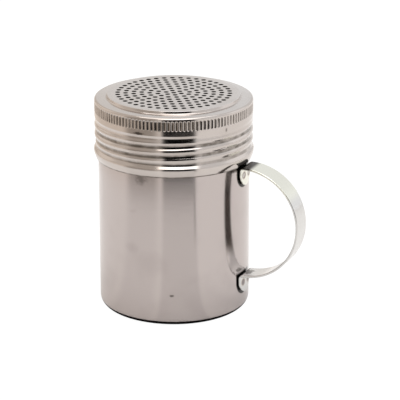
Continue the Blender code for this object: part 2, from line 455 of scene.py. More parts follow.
def new_material(name: str, plain: bool = False) -> tuple[Material, Wiring]:
    """Start a material.

    Args:
        name: its name.
        plain: whether its first nodes are taken out.

    Returns:
        The material and its wiring.
    """
    material = bpy.data.materials.new(name)
    material.use_nodes = True
    if plain:
        material.node_tree.nodes.clear()
    return material, Wiring(material.node_tree)


def socket_kind(value: object) -> str:
    """Name the socket type that takes a link, a number, a place or a colour."""
    if isinstance(value, Socket):
        return SOCKET_KINDS[value.type]
    if isinstance(value, float):
        return SOCKET_KINDS["VALUE"]
    return SOCKET_KINDS["VECTOR" if len(value) == 3 else "RGBA"]


class Effect:
    """Something that changes over a surface. Each kind has one node group, which all finishes share."""

    title: ClassVar[str]

    def inputs(self) -> dict[str, object]:
        """Give the values of the group's own inputs, by name."""
        return {item.name: getattr(self, item.name) for item in fields(self)}

    def wire(self, group: Wiring, given: Sockets) -> Sockets:
        """Wire the inside of the group.

        Args:
            group: the group's wiring.
            given: its inputs by name.

        Returns:
            What it puts out, by name.
        """
        raise NotImplementedError

    def new_group(self, values: Mapping[str, object]) -> bpy.types.NodeTree:
        """Make the group, with an input for each value or link."""
        tree = bpy.data.node_groups.new(self.title, "ShaderNodeTree")
        for label, value in values.items():
            tree.interface.new_socket(name=label, in_out="INPUT", socket_type=socket_kind(value))
        group = Wiring(tree)
        results = self.wire(group, group.add("NodeGroupInput").outputs)
        for label, value in results.items():
            tree.interface.new_socket(name=label, in_out="OUTPUT", socket_type=socket_kind(value))
        group.add("NodeGroupOutput", results)
        return tree

    def apply(self, wiring: Wiring, **links: Socket) -> Sockets:
        """Add the effect to a material.

        Args:
            wiring: the material's wiring.
            links: the sockets that the group's other inputs are linked to.

        Returns:
            What the group puts out, by name.
        """
        values = {**links, **self.inputs()}
        tree = bpy.data.node_groups.get(self.title) or self.new_group(values)
        return wiring.add("ShaderNodeGroup", values, node_tree=tree).outputs


@dataclass(frozen=True)
class PolishingLines(Effect):
    """Fine noise that is drawn out along the grain: a roughness and a height."""

    title: ClassVar[str] = "polishing_grain"
    detail: ClassVar[float] = 4.0
    fineness: ClassVar[float] = 0.65

    stretch: Point
    smoothest: float
    roughest: float

    def wire(self, group: Wiring, given: Sockets) -> Sockets:
        """Wire the inside of the group."""
        drawn = group.vector("MULTIPLY", given["position"], given["stretch"])
        noise = group.noise(drawn, 1.0, self.detail, self.fineness)
        rough = group.fit(noise, *NOISE_SPAN, given["smoothest"], given["roughest"])
        return {"roughness": rough, "height": noise}


@dataclass(frozen=True)
class HandlingWear(Effect):
    """Wear from use: soft smudges and a few thin scratches."""

    title: ClassVar[str] = "handling_wear"
    smudge_scale: ClassVar[float] = 55.0
    smudge_span: ClassVar[Span] = (0.48, 0.68)
    scratch_scale: ClassVar[float] = 130.0
    scratch_width: ClassVar[float] = 0.012
    scratch_strength: ClassVar[float] = 0.7
    patch_scale: ClassVar[float] = 90.0
    patch_span: ClassVar[Span] = (0.56, 0.6)

    colour: Colour
    dulled: Colour
    amount: float = 0.5
    roughening: float = 0.08

    def wire(self, group: Wiring, given: Sockets) -> Sockets:
        """Wire the inside of the group."""
        place = given["position"]
        smudge = group.fit(group.noise(place, self.smudge_scale, 3.0), *self.smudge_span, smooth=True)
        cells = {"Vector": place, "Scale": self.scratch_scale}
        edges = group.add("ShaderNodeTexVoronoi", cells, feature="DISTANCE_TO_EDGE").outputs[0]
        lines = group.fade(edges, 0.0, self.scratch_width, smooth=False)
        patches = group.fit(group.noise(place, self.patch_scale, 1.0), *self.patch_span)
        lines = group.product(lines, patches, self.scratch_strength)
        worn = group.product(group.math("MAXIMUM", smudge, lines), given["amount"])
        colour = group.blend(worn, given["colour"], given["dulled"])
        return {"colour": colour, "added_roughness": group.product(worn, given["roughening"])}


@dataclass(frozen=True)
class PaintedUpperShading(Effect):
    """Painted light and shade: another colour of the steel above a height, lighter or darker to stand
    in for how the light falls there.
    """

    title: ClassVar[str] = "painted_upper_shading"

    tone: Colour
    start_z: float
    full_z: float

    def wire(self, group: Wiring, given: Sockets) -> Sockets:
        """Wire the inside of the group."""
        z = group.split(given["position"])[2]
        share = group.fit(z, given["start_z"], given["full_z"], smooth=True)
        return {"colour": group.blend(share, given["colour"], given["tone"])}


@dataclass(frozen=True)
class StainAndShadeSpot(Effect):
    """A small soft dark spot on a turned wall: some are real stains, others painted shade under or
    beside other parts. Its angle is in degrees.
    """

    title: ClassVar[str] = "dark_spot_and_painted_shade"
    edge_scale: ClassVar[float] = 900.0
    edge_depth: ClassVar[float] = 0.2

    radius: float
    angle: float
    z: float
    half_width: float
    half_height: float
    amount: float
    core: float = 0.4
    spot_colour: Colour = rgb(0.05, 0.04, 0.033)

    def inputs(self) -> dict[str, object]:
        """Give the values of the group's own inputs, by name."""
        turn = radians(self.angle)
        across = 1.0 / self.half_width
        return {
            "centre": (self.radius * cos(turn), self.radius * sin(turn), self.z),
            "closeness": (across, across, 1.0 / self.half_height),
            "amount": self.amount,
            "core": self.core,
            "spot_colour": self.spot_colour,
        }

    def wire(self, group: Wiring, given: Sockets) -> Sockets:
        """Wire the inside of the group."""
        away = group.vector("SUBTRACT", given["position"], given["centre"])
        away = group.vector("MULTIPLY", away, given["closeness"])
        reach = group.add("ShaderNodeVectorMath", {0: away}, operation="LENGTH").outputs["Value"]
        ragged = group.noise(given["position"], self.edge_scale, 2.0)
        ragged = group.fit(ragged, *NOISE_SPAN, -self.edge_depth, self.edge_depth)
        mask = group.fade(group.math("ADD", reach, ragged), given["core"], 1.0)
        mask = group.product(mask, given["amount"])
        return {"colour": group.blend(mask, given["colour"], given["spot_colour"])}


@dataclass(frozen=True)
class TabEdgeShade(Effect):
    """Painted shade and dark reflection: black on the cup along the edge of a welded tab, up to a
    ceiling.
    """

    title: ClassVar[str] = "tab_edge_residue"
    ceiling_fade: ClassVar[float] = 0.0006

    half_width: float
    lowest: float
    highest: float
    ceiling: float = 1.0
    inner_reach: float = 0.0009
    outer_reach: float = 0.0014
    residue: Colour = rgb(0.02, 0.018, 0.016)

    def wire(self, group: Wiring, given: Sockets) -> Sockets:
        """Wire the inside of the group."""
        x, y, z = group.split(given["position"])
        level = group.math("MAXIMUM", z, given["lowest"])
        level = group.math("MINIMUM", level, given["highest"])
        reach = group.distance(group.math("SUBTRACT", z, level), y)
        reach = group.math("SUBTRACT", reach, given["half_width"])
        mask = group.fade(reach, given["inner_reach"], given["outer_reach"])
        room = group.math("SUBTRACT", given["ceiling"], z)
        handle_side = group.math("GREATER_THAN", x, 0.0)
        mask = group.product(mask, handle_side, group.fit(room, 0.0, self.ceiling_fade))
        return {"colour": group.blend(mask, given["colour"], given["residue"])}


@dataclass(frozen=True)
class HollowShade(Effect):
    """Painted shade: darker colour where a stretch of a turned wall lies inside a given radius."""

    title: ClassVar[str] = "hollow_grime"
    patch_scale: ClassVar[float] = 260.0
    patch_span: ClassVar[Span] = (0.3, 0.62)
    thinnest: ClassVar[float] = 0.45

    clean_radius: float
    dark_radius: float
    lowest: float
    highest: float
    amount: float
    grime: Colour = rgb(0.10, 0.085, 0.07)

    def wire(self, group: Wiring, given: Sockets) -> Sockets:
        """Wire the inside of the group."""
        x, y, z = group.split(given["position"])
        depth = group.math("SUBTRACT", given["clean_radius"], group.distance(x, y))
        span = group.math("SUBTRACT", given["clean_radius"], given["dark_radius"])
        mask = group.fit(group.math("DIVIDE", depth, span), 0.0, 1.0, smooth=True)
        patches = group.noise(given["position"], self.patch_scale, 3.0)
        patches = group.fit(patches, *self.patch_span, self.thinnest, 1.0)
        above = group.math("GREATER_THAN", z, given["lowest"])
        below = group.math("LESS_THAN", z, given["highest"])
        mask = group.product(mask, patches, above, below, given["amount"])
        return {"colour": group.blend(mask, given["colour"], given["grime"])}


@dataclass(frozen=True)
class WeldHeatAndBendShade(Effect):
    """Heat tint round the spot welds, straw outside a dark ring, and painted shade, dark, in the upper
    bend.
    """

    title: ClassVar[str] = "weld_heat_and_bend_shade"
    nugget_edge: ClassVar[float] = 0.0012
    dark_end: ClassVar[float] = 0.0017
    straw_end: ClassVar[float] = 0.0024
    tab_x: ClassVar[Span] = (0.0345, 0.0352)
    bend_x: ClassVar[Span] = (0.0368, 0.0392)
    bend_rise: ClassVar[Span] = (0.0028, 0.0036)
    straw_tint: ClassVar[Colour] = rgb(0.46, 0.38, 0.30)
    dark_tint: ClassVar[Colour] = rgb(0.16, 0.14, 0.15)
    bend_shade: ClassVar[Colour] = rgb(0.03, 0.027, 0.025)

    upper_z: float
    lower_z: float
    side: float
    amount: float = 0.8

    def wire(self, group: Wiring, given: Sockets) -> Sockets:
        """Wire the inside of the group."""
        x, y, z = group.split(given["position"])
        across = group.math("SUBTRACT", group.math("ABSOLUTE", y), given["side"])
        above, below = (group.math("SUBTRACT", z, given[name]) for name in ("upper_z", "lower_z"))
        nearest = group.math("MINIMUM", group.distance(above, across), group.distance(below, across))
        straw = group.product(
            group.fade(nearest, self.nugget_edge, self.straw_end),
            given["amount"],
            group.fade(x, *self.tab_x, smooth=False),
        )
        dark = group.product(group.fade(nearest, self.nugget_edge, self.dark_end), straw)
        # Painted shade: the upper bend, just under the lid, is darkened.
        bend = group.product(group.fade(x, *self.bend_x), group.fit(above, *self.bend_rise))
        colour = given["colour"]
        for mask, tint in ((straw, self.straw_tint), (dark, self.dark_tint), (bend, self.bend_shade)):
            colour = group.blend(mask, colour, tint)
        return {"colour": colour}


@dataclass(frozen=True)
class SteelFinish:
    """One way that stainless steel is finished on this shaker."""

    name: str
    colour: Colour
    dulled: Colour
    smoothest: float
    roughest: float
    grain: Grain = Grain.AROUND
    across_scale: float = 5200.0
    along_scale: float = 60.0
    bump: float = 0.000004
    anisotropy: float = 0.0
    anisotropic_turn: float = 0.25
    layers: tuple[Effect, ...] = ()

    def grain_position(self, wiring: Wiring, position: Socket) -> Socket:
        """Give the place to read the grain at. For rings, z is the distance from the axis.

        Args:
            wiring: the material's wiring.
            position: the object coordinates.

        Returns:
            The place's socket.
        """
        if self.grain is not Grain.RINGS:
            return position
        x, y, _ = wiring.split(position)
        inputs = {0: x, 1: y, 2: wiring.distance(x, y)}
        return wiring.add("ShaderNodeCombineXYZ", inputs).outputs[0]

    def stretch(self) -> Point:
        """Give the noise's scale along each axis for this grain."""
        if self.grain is Grain.ALONG:
            return (self.along_scale, self.across_scale, self.along_scale)
        if self.grain is Grain.NONE:
            return (self.across_scale, self.across_scale, self.across_scale)
        return (self.along_scale, self.along_scale, self.across_scale)

    def build(self) -> Material:
        """Make the material."""
        material, wiring = new_material(self.name)
        shader = wiring.tree.nodes["Principled BSDF"]
        position = wiring.add("ShaderNodeTexCoord").outputs["Object"]
        lines = PolishingLines(self.stretch(), self.smoothest, self.roughest).apply(
            wiring, position=self.grain_position(wiring, position)
        )
        worn = HandlingWear(self.colour, self.dulled).apply(wiring, position=position)
        colour = worn["colour"]
        for layer in self.layers:
            colour = layer.apply(wiring, position=position, colour=colour)["colour"]
        relief = {"Height": lines["height"], "Strength": 1.0, "Distance": self.bump}
        inputs = {
            "Base Color": colour,
            "Roughness": wiring.math("ADD", lines["roughness"], worn["added_roughness"]),
            "Normal": wiring.add("ShaderNodeBump", relief).outputs[0],
            "Metallic": 1.0,
        }
        if self.anisotropy:
            tangent = wiring.add("ShaderNodeTangent", direction_type="RADIAL", axis="Z")
            inputs["Tangent"] = tangent.outputs[0]
            inputs["Anisotropic"] = self.anisotropy
            inputs["Anisotropic Rotation"] = self.anisotropic_turn
        wiring.fill(shader, inputs)
        return material


@dataclass(frozen=True)
class RolledThread:
    """The right-hand thread, rolled alike into the cup's neck and the lid."""

    pitch: float = 0.0042
    swell: float = 0.0003
    steepness: float = 1.0
    crest_z: float = 0.0790
    crest_angle: float = radians(-66.0)

    def height(self, angle: float, z: float, rising: Span, falling: Span) -> float:
        """Tell how far the thread stands out of its wall.

        Args:
            angle: the place round the axis.
            z: the height above the base.
            rising: the heights between which the thread grows.
            falling: the heights between which it dies away again.

        Returns:
            The distance, below zero in a valley.
        """
        rise = self.pitch * (angle - self.crest_angle) / tau
        wave = cos(tau * (z - self.crest_z - rise) / self.pitch)
        wave = self.swell * wave * (1.0 + self.steepness) / (1.0 + self.steepness * abs(wave))
        return wave * smooth_step(*rising, z) * (1.0 - smooth_step(*falling, z))


@dataclass
class DrawnCup:
    """The cup: flat base, round corner, straight wall and threaded neck."""

    thread: RolledThread
    radius: float
    height: float
    sheet: float = 0.0005
    corner: float = 0.0041
    corner_rows: int = 12
    neck_inset: float = 0.00015
    neck_z: float = 0.0743
    neck_step: float = 0.0022
    neck_rows: int = 6
    thread_rising: Span = (0.0734, 0.0756)
    thread_falling: Span = (0.0856, 0.0878)
    columns: int = 252
    thread_spacing: float = 0.0004
    wall_spacing: float = 0.008

    def outline(self, inset: float) -> list[ProfilePoint]:
        """List the wall's profile from the rim down to the base.

        Args:
            inset: how far inside the outer face it lies.

        Returns:
            Radius and height of each row.
        """
        neck = self.radius - self.neck_inset - inset
        wall = self.radius - inset
        wall_z = self.neck_z - self.neck_step
        top = self.height - self.sheet / 2
        rows = [(neck, z) for z in heights(top, self.neck_z, self.thread_spacing)]
        for step in range(1, self.neck_rows + 1):
            share = step / self.neck_rows
            reach = between(neck, wall, smooth_step(0.0, 1.0, share))
            rows.append((reach, between(self.neck_z, wall_z, share)))
        rows += [(wall, z) for z in heights(wall_z, self.corner, self.wall_spacing)[1:-1]]
        bend = self.corner - inset
        for step in range(self.corner_rows + 1):
            turn = pi / 2 * step / self.corner_rows
            rows.append((self.radius - self.corner + bend * cos(turn), self.corner - bend * sin(turn)))
        return rows

    def wave(self, angle: float, z: float) -> float:
        """Tell how far the neck's thread stands out at a place."""
        if z <= self.neck_z:
            return 0.0
        return self.thread.height(angle, z, self.thread_rising, self.thread_falling)

    def build(self, outer: Material, inner: Material) -> bpy.types.Object:
        """Make the cup's mesh.

        Args:
            outer: the finish outside.
            inner: the finish inside, darkened as painted shade.

        Returns:
            The cup.
        """
        sheet = SheetMesh()
        outside = self.outline(0.0)
        rim = half_round(*outside[0], self.sheet / 2, 1.0)
        rings = sheet.spun(outside[::-1] + rim + self.outline(self.sheet), self.columns, self.wave)
        turn = len(outside) + len(rim)
        sheet.add_face(rings[0])
        sheet.join_all(rings[:turn])
        sheet.join_all(rings[turn - 1 :], 1)
        sheet.add_face(rings[-1])
        return sheet.make("drawn_cup", [outer, inner])


@dataclass
class ScrewLid:
    """The lid: holed top, knurled edge, rolled thread and lower bead."""

    thread: RolledThread
    top_z: float
    edge_z: float
    bead_radius: float
    sheet: float = 0.0006
    plate_radius: float = 0.0266
    plateau_radius: float = 0.0287
    step_width: float = 0.00025
    step_drop: float = 0.0013
    step_fillet: float = 0.0002
    foot_fillet: float = 0.0006
    shoulder_drop: float = 0.0016
    shoulder_fillet: float = 0.0009
    shoulder_start: float = 0.0327
    band_radius: float = 0.0342
    band_low_z: float = 0.0858
    taper_z: float = 0.0848
    taper_rest: float = 0.0005
    taper_fillet: float = 0.0006
    skirt_radius: float = 0.03395
    thread_fade_high: float = 0.0022
    thread_fade_low: float = 0.0032
    valley_z: float = 0.0733
    valley_radius: float = 0.03375
    bead_z: float = 0.0709
    bead_flank_high_z: float = 0.0730
    bead_flank_low_z: float = 0.0712
    bead_spacing: float = 0.00022
    hem_radius: float = 0.0336
    hem_spacing: float = 0.0003
    knurl_high_z: float = 0.0924
    knurl_low_z: float = 0.0880
    knurl_spacing: float = 0.0012
    knurl_count: int = 126
    groove_half_width: float = 0.0006
    groove_depth: float = 0.00028
    columns: int = 252
    fine_columns: int = 1008
    thread_spacing: float = 0.00035
    hole_radius: float = 0.00092
    hole_pitch: float = 0.00345
    hole_rings: int = 7
    holes_per_ring: int = 6
    hole_turn: float = radians(4.0)
    hole_columns: int = 16
    collar: float = 0.00026
    lip: float = 0.0002
    lip_middle: float = 0.29
    under_lip: float = 1.0 / 3.0
    merge_distance: float = 1e-9

    def hole_places(self) -> list[ProfilePoint]:
        """List the holes' centres: one in the middle, then rings of 6, 12 and so on."""
        places = [(0.0, 0.0)]
        for ring in range(1, self.hole_rings + 1):
            for hole in range(self.holes_per_ring * ring):
                angle = self.hole_turn + tau * hole / (self.holes_per_ring * ring)
                reach = self.hole_pitch * ring
                places.append((reach * cos(angle), reach * sin(angle)))
        return places

    def thread_wave(self, angle: float, z: float) -> float:
        """Tell how far the rolled thread stands out at a place."""
        rising = (self.valley_z, self.valley_z + self.thread_fade_low)
        falling = (self.taper_z - self.thread_fade_high, self.taper_z)
        return self.thread.height(angle, z, rising, falling)

    def knurl_wave(self, angle: float, z: float) -> float:
        """Tell how far the knurl stands out at a place: below zero in a groove."""
        share = (angle * self.knurl_count / tau) % 1.0 - 0.5
        across = share * tau * self.band_radius / self.knurl_count
        middle = (self.knurl_high_z + self.knurl_low_z) / 2
        half = (self.knurl_high_z - self.knurl_low_z) / 2 - self.groove_half_width
        reach = hypot(across, max(0.0, abs(z - middle) - half)) / self.groove_half_width
        return -self.groove_depth * (1.0 - reach * reach) if reach < 1.0 else 0.0

    def knurl_rows(self) -> list[ProfilePoint]:
        """List the fine rows of the knurled edge, from the top down."""
        width = self.groove_half_width
        high, low, fine = self.knurl_high_z, self.knurl_low_z, width / 4
        rows = heights(high + fine, high - width, fine)
        rows += heights(high - width, low + width, self.knurl_spacing)[1:]
        rows += heights(low + width, low - fine, fine)[1:]
        return [(self.band_radius, z) for z in rows]

    def top_rows(self, inset: float) -> list[ProfilePoint]:
        """List the rows of the top, from the plateau to the band.

        Args:
            inset: how far inside the outer face they lie.

        Returns:
            Radius and height of each row.
        """
        top = self.top_z - inset
        foot_radius = self.plateau_radius + self.step_width - inset
        band = self.band_radius - inset
        corners = [
            (self.plate_radius, top, 0.0),
            (self.plateau_radius - inset, top, self.step_fillet),
            (foot_radius, self.top_z - self.step_drop - inset, self.foot_fillet + inset / 2),
            (band, self.top_z - self.shoulder_drop - inset, self.shoulder_fillet - inset),
            (band, self.knurl_high_z + self.groove_half_width / 2, 0.0),
        ]
        return rounded_profile(corners)

    def lower_rows(self, inset: float) -> list[ProfilePoint]:
        """List the rows from below the knurl down to the lower edge.

        Args:
            inset: how far inside the outer face they lie.

        Returns:
            Radius and height of each row.
        """
        band, skirt = self.band_radius - inset, self.skirt_radius - inset
        start, valley = self.taper_z - self.taper_rest, self.valley_z
        corners = [
            (band, self.knurl_low_z - self.groove_half_width / 2, 0.0),
            (band, self.band_low_z, self.taper_fillet),
            (skirt, self.taper_z, self.taper_fillet),
            (skirt, start, 0.0),
        ]
        rows = rounded_profile(corners)
        for z in heights(start, valley, self.thread_spacing)[1:]:
            share = smooth_step(valley, valley + self.thread_fade_low, z)
            rows.append((between(self.valley_radius, self.skirt_radius, share) - inset, z))
        for z in heights(valley, self.bead_z, self.bead_spacing)[1:]:
            share = smooth_step(-self.bead_flank_high_z, -self.bead_flank_low_z, -z)
            rows.append((between(self.valley_radius, self.bead_radius, share) - inset, z))
        for z in heights(self.bead_z, self.edge_z + self.sheet / 2, self.hem_spacing)[1:]:
            share = cos(pi / 2 * (self.bead_z - z) / (self.bead_z - self.edge_z))
            rows.append((between(self.hem_radius, self.bead_radius, share) - inset, z))
        return rows

    def add_plate(self, sheet: SheetMesh, rim: list[int], collars: list[list[int]]) -> None:
        """Fill the plate between its rim and the holes' collars.

        Args:
            sheet: the mesh.
            rim: the plate's outer ring.
            collars: the ring round each hole.
        """
        loops = [rim, *collars]
        numbers = [number for loop in loops for number in loop]
        owners = [owner for owner, loop in enumerate(loops) for _ in loop]
        flat = [Vector(sheet.points[number][:2]) for number in numbers]
        edges = []
        start = 0
        for loop in loops:
            edges += [(start + step, start + (step + 1) % len(loop)) for step in range(len(loop))]
            start += len(loop)
        result = delaunay_2d_cdt(flat, edges, [], 0, self.merge_distance)
        origins = [origin[0] for origin in result[3]]
        for face in result[2]:
            corners = [origins[corner] for corner in face]
            holders = {owners[corner] for corner in corners}
            if len(holders) > 1 or 0 in holders:
                sheet.add_face([numbers[corner] for corner in corners])

    def add_holes(self, sheet: SheetMesh) -> tuple[list[list[int]], list[list[int]]]:
        """Add the walls and rounded lips of the holes.

        Args:
            sheet: the mesh.

        Returns:
            The collars on the outer face and those on the inner face.
        """
        under_z = self.top_z - self.sheet
        middle, under = self.lip * self.lip_middle, self.lip * self.under_lip
        rows = (
            (self.hole_radius + self.collar, self.top_z),
            (self.hole_radius + self.lip, self.top_z),
            (self.hole_radius + middle, self.top_z - middle),
            (self.hole_radius, self.top_z - self.lip),
            (self.hole_radius, under_z + under),
            (self.hole_radius + under, under_z),
            (self.hole_radius + self.collar, under_z),
        )
        outer, inner = [], []
        for place in self.hole_places():
            rings = sheet.spun(rows, self.hole_columns, centre=place)
            sheet.join_all(rings[:2], LidFace.TOP)
            sheet.join_all(rings[1:], LidFace.HOLES)
            outer.append(rings[0])
            inner.append(rings[-1])
        return outer, inner

    def build(self, materials: Mapping[LidFace, Material]) -> bpy.types.Object:
        """Make the lid's mesh.

        Args:
            materials: the finish of each kind of face.

        Returns:
            The lid.
        """
        sheet = SheetMesh()
        outer_collars, inner_collars = self.add_holes(sheet)
        crown = self.top_rows(0.0)
        outer = sheet.spun(crown, self.columns)
        sheet.finish = LidFace.TOP
        self.add_plate(sheet, outer[0], outer_collars)
        rows = list(enumerate(crown))
        step = next(row for row, (_, z) in rows if z < self.top_z - self.step_fillet / 2)
        foot = next(row for row, (_, z) in rows if z < self.top_z - self.step_drop)
        shoulder = next(row for row, (radius, _) in rows if radius > self.shoulder_start)
        knurl = sheet.spun(self.knurl_rows(), self.fine_columns, self.knurl_wave)
        skirt_rows = self.lower_rows(0.0)
        skirt = sheet.spun(skirt_rows, self.columns, self.thread_wave)
        lip = self.sheet / 2
        hem = sheet.spun(half_round(skirt_rows[-1][0], self.edge_z + lip, lip, -1.0), self.columns)
        inside = sheet.spun(self.lower_rows(self.sheet)[::-1], self.columns, self.thread_wave)
        roof = sheet.spun(self.top_rows(self.sheet)[::-1], self.columns)
        sheet.join_all(outer[: step + 1], LidFace.TOP)
        sheet.join_all(outer[step : foot + 1], LidFace.SIDE)
        sheet.join_all(outer[foot : shoulder + 1], LidFace.TOP)
        sheet.join_all([*outer[shoulder:], *knurl, *skirt, *hem], LidFace.SIDE)
        sheet.join_all([hem[-1], *inside, *roof], LidFace.INSIDE)
        self.add_plate(sheet, roof[-1], inner_collars)
        return sheet.make("perforated_lid", [materials[face] for face in LidFace])


@dataclass
class HemWire:
    """The thin ring of wire that lies inside the lid's lower bead."""

    ring_radius: float
    z: float
    radius: float = 0.00025
    columns: int = 252
    sides: int = 12

    def build(self, material: Material) -> bpy.types.Object:
        """Make the wire's mesh in its finish."""
        turns = [tau * side / self.sides for side in range(self.sides)]
        rows = [(self.ring_radius + self.radius * cos(t), self.z + self.radius * sin(t)) for t in turns]
        sheet = SheetMesh()
        rings = sheet.spun(rows, self.columns)
        sheet.join_all([*rings, rings[0]])
        return sheet.make("hem_wire", [material])


@dataclass(frozen=True)
class StrapRow:
    """One row across the strap: its place, the way along it, its width and how far it is wrapped."""

    x: float
    z: float
    along_x: float
    along_z: float
    half_width: float
    wrapped: float


@dataclass
class StrapHandle:
    """The bent strap, with its two tabs and the pockets of their spot welds."""

    tab_radius: float
    top_z: float
    low_z: float
    weld_z: Span
    weld_side: float
    width: float = 0.0106
    thickness: float = 0.00095
    bend_radius: float = 0.0012
    tab_length: float = 0.0072
    edge_radius: float = 0.0003
    widest_edge: float = 0.8
    columns: int = 42
    edge_steps: int = 4
    tab_spacing: float = 0.00025
    tip_rows: int = 16
    tip_bunching: float = 1.3
    upper_tip_start: float = 1.0
    lower_tip_start: float = 0.3
    bend_rows: int = 8
    loop_rows: int = 96
    pocket_radius: float = 0.00138
    pocket_wall: float = 0.00016
    pocket_depth: float = 0.00026
    draw_in: float = 0.00001

    def round_end_z(self, end_z: float) -> float:
        """Give the height of the middle of a tab's round end, from the loop's end."""
        return end_z - self.bend_radius - self.tab_length + self.width / 2

    def tab(self, end_z: float, way: float, tip_start: float) -> list[StrapRow]:
        """List the rows of a tab and its bend, from the tip to the loop.

        Args:
            end_z: the height of the loop's end.
            way: 1 where the strap runs upwards here, -1 where it runs downwards.
            tip_start: the first row's place among the tip's rows.

        Returns:
            The rows, lowest first.
        """
        half = self.width / 2
        low = self.round_end_z(end_z)
        rows = []
        for step in range(self.tip_rows):
            share = (step + tip_start) / self.tip_rows
            if share < 1.0:
                turn = pi / 2 * share**self.tip_bunching
                z = low - half * cos(turn)
                rows.append(StrapRow(self.tab_radius, z, 0.0, way, half * sin(turn), 1.0))
        for z in heights(low, end_z - self.bend_radius, self.tab_spacing):
            rows.append(StrapRow(self.tab_radius, z, 0.0, way, half, 1.0))
        for step in range(1, self.bend_rows + 1):
            share = step / self.bend_rows
            turn = pi / 2 * share
            x = self.tab_radius + self.bend_radius * (1.0 - cos(turn))
            z = end_z - self.bend_radius * (1.0 - sin(turn))
            rows.append(StrapRow(x, z, way * sin(turn), way * cos(turn), half, 1.0 - share))
        return rows

    def loop(self) -> list[StrapRow]:
        """List the rows of the round part between the two bends."""
        radius = (self.top_z - self.low_z) / 2
        centre_x = self.tab_radius + self.bend_radius
        centre_z = (self.top_z + self.low_z) / 2
        rows = []
        for step in range(1, self.loop_rows):
            turn = pi / 2 - pi * step / self.loop_rows
            x = centre_x + (radius - self.draw_in) * cos(turn)
            z = centre_z + radius * sin(turn)
            rows.append(StrapRow(x, z, sin(turn), -cos(turn), self.width / 2, 0.0))
        return rows

    def pocket(self, across: float, z: float) -> float:
        """Tell how deep the tab is pressed in round its spot welds."""
        bottom = self.pocket_radius - self.pocket_wall
        deepest = 0.0
        for weld_z in self.weld_z:
            reach = hypot(abs(across) - self.weld_side, z - weld_z)
            share = 1.0 - smooth_step(bottom, self.pocket_radius, reach)
            deepest = max(deepest, self.pocket_depth * share)
        return deepest

    def section(self, row: StrapRow) -> list[Point]:
        """List the points round the strap at one row.

        Args:
            row: where and how wide the strap is there.

        Returns:
            The ring's points.
        """
        edge = min(self.edge_radius, row.half_width * self.widest_edge)
        flat = row.half_width - edge
        lift = self.thickness / 2
        rim = min(edge, lift)
        outline = []
        for column in range(self.columns + 1):
            across = flat * (2.0 * column / self.columns - 1.0)
            sunk = self.pocket(across, row.z) if row.wrapped == 1.0 else 0.0
            outline.append((across, lift - sunk))
        for step in range(1, self.edge_steps):
            turn = pi / 2 * step / self.edge_steps
            outline.append((flat + edge * sin(turn), lift - rim * (1.0 - cos(turn))))
        outline.append((row.half_width, lift - rim))
        outline += [(across, -level) for across, level in outline[: self.columns : -1]]
        for column in range(self.columns, -1, -1):
            outline.append((flat * (2.0 * column / self.columns - 1.0), -lift))
        side = [(-across, level) for across, level in outline[self.columns + 1 : -self.columns - 1]]
        points = []
        for across, level in outline + side[::-1]:
            reach = self.tab_radius + level
            bent = across / self.tab_radius
            x = row.x + level * row.along_z - row.wrapped * reach * (1.0 - cos(bent))
            y = (1.0 - row.wrapped) * across + row.wrapped * reach * sin(bent)
            points.append((x, y, row.z - level * row.along_x))
        return points

    def build(self, outer: Material, inner: Material) -> bpy.types.Object:
        """Make the strap's mesh.

        Args:
            outer: its finish.
            inner: the finish of the side that the fingers touch, darkened above a height as painted
                shade.

        Returns:
            The handle.
        """
        sheet = SheetMesh()
        rows = self.tab(self.top_z, 1.0, self.upper_tip_start) + self.loop()
        rows += self.tab(self.low_z, -1.0, self.lower_tip_start)[::-1]
        rings = [sheet.ring(self.section(row)) for row in rows]
        sheet.join_all(rings)
        around = len(rings[0])
        for place in range(len(sheet.faces)):
            finger_side = place % around < self.columns and rows[place // around].wrapped == 0.0
            sheet.finishes[place] = int(finger_side)
        sheet.cap(rings)
        return sheet.make("strap_handle", [outer, inner])


@dataclass
class SpotWeld:
    """One weld nugget, slightly domed, in its pocket in the tab."""

    name: str
    low: Vector
    high: Vector
    face_radius: float
    pocket_depth: float
    radius: float = 0.00118
    dome: float = 0.00012
    dome_share: float = 0.98
    floor_gap: float = 0.00003
    crown_gap: float = 0.00005
    wall_gap: float = 0.00004
    columns: int = 32
    rings: int = 6

    def build(self, material: Material) -> bpy.types.Object:
        """Make the nugget's mesh in its finish."""
        middle = (self.low + self.high) / 2
        angle = atan2(middle.y, middle.x)
        crown = self.face_radius - self.crown_gap
        rows = [
            (self.radius, self.face_radius - self.pocket_depth + self.floor_gap),
            (self.radius, crown - self.dome - self.wall_gap),
        ]
        for ring in range(self.rings):
            turn = pi / 2 * ring / self.rings
            reach = crown - self.dome * (1.0 - sin(turn))
            rows.append((self.radius * cos(turn) * self.dome_share, reach))
        sheet = SheetMesh()
        rings = sheet.spun(rows, self.columns)
        laid = []
        for across, up, reach in sheet.points:
            x = reach * cos(angle) - across * sin(angle)
            y = reach * sin(angle) + across * cos(angle)
            laid.append((x, y, middle.z + up))
        sheet.points = laid
        sheet.join_all(rings)
        sheet.cap(rings)
        return sheet.make(self.name + "_nugget", [material])


@dataclass(frozen=True)
class Strip:
    """An upright strip of the surroundings, by its angles round the shaker in degrees."""

    azimuth: float
    half_angle: float
    edge: float

    def mask(self, wiring: Wiring, azimuth: Socket) -> Socket:
        """Mask the strip.

        Args:
            wiring: the wiring of the world or of a card.
            azimuth: the direction looked in.

        Returns:
            A mask that is 1 inside the strip and fades at its edges.
        """
        away = wiring.math("SUBTRACT", azimuth, radians(self.azimuth))
        wrapped = wiring.add("ShaderNodeMath", {0: away, 1: pi, 2: -pi}, operation="WRAP")
        away = wiring.math("ABSOLUTE", wrapped.outputs[0])
        return wiring.fade(
            away, radians(self.half_angle - self.edge), radians(self.half_angle + self.edge)
        )


